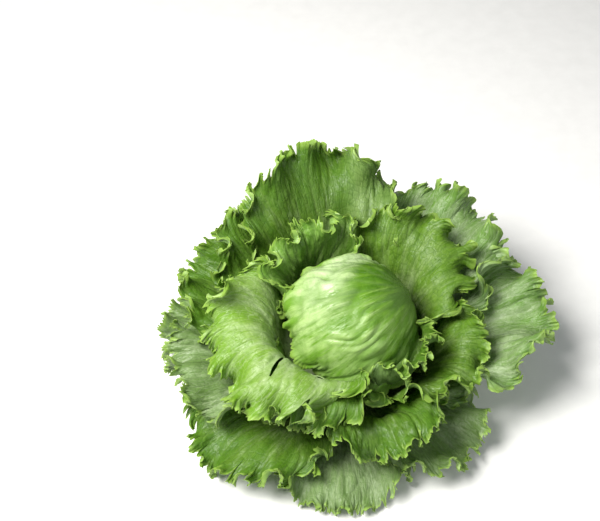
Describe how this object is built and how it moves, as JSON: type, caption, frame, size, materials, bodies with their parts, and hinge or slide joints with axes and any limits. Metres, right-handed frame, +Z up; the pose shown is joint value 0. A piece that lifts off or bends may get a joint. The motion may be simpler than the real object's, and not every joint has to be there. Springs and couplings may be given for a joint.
{
  "type": "lettuce",
  "caption": "Crisphead lettuce as picked: a round head under wrapped cap leaves, ringed by loose frilled wrapper leaves, standing on its cut stem.",
  "frame": {"origin": "centre of the stem's flat cut face, on the surface the lettuce stands on", "axes": "+Z up through the head; +X to the right and +Y to the back as the picture sees it"},
  "size_m": [0.4455, 0.3966, 0.2133],
  "materials": {
    "stem": "moist pale cut plant stem",
    "heart": "satin pale leaf",
    "cap": "glossy pale leaf",
    "wrapper_inner": "satin leaf",
    "wrapper_outer": "satin dark leaf"
  },
  "bodies": {
    "root": {"cut_stem": "stem", "heart": "heart", "cap_leaf_1": "cap", "cap_leaf_2": "cap", "wrapper_leaf_01": "wrapper_inner", "wrapper_leaf_02": "wrapper_inner", "wrapper_leaf_03": "wrapper_inner", "wrapper_leaf_04": "wrapper_inner", "wrapper_leaf_05": "wrapper_inner", "wrapper_leaf_06": "wrapper_inner", "wrapper_leaf_07": "wrapper_inner", "wrapper_leaf_08": "wrapper_inner", "wrapper_leaf_09": "wrapper_inner", "wrapper_leaf_10": "wrapper_outer", "wrapper_leaf_11": "wrapper_outer", "wrapper_leaf_12": "wrapper_outer", "wrapper_leaf_13": "wrapper_outer", "wrapper_leaf_14": "wrapper_outer", "wrapper_leaf_15": "wrapper_outer", "wrapper_leaf_16": "wrapper_outer", "wrapper_leaf_17": "wrapper_outer", "wrapper_leaf_18": "wrapper_outer"}
  },
  "joints": []
}
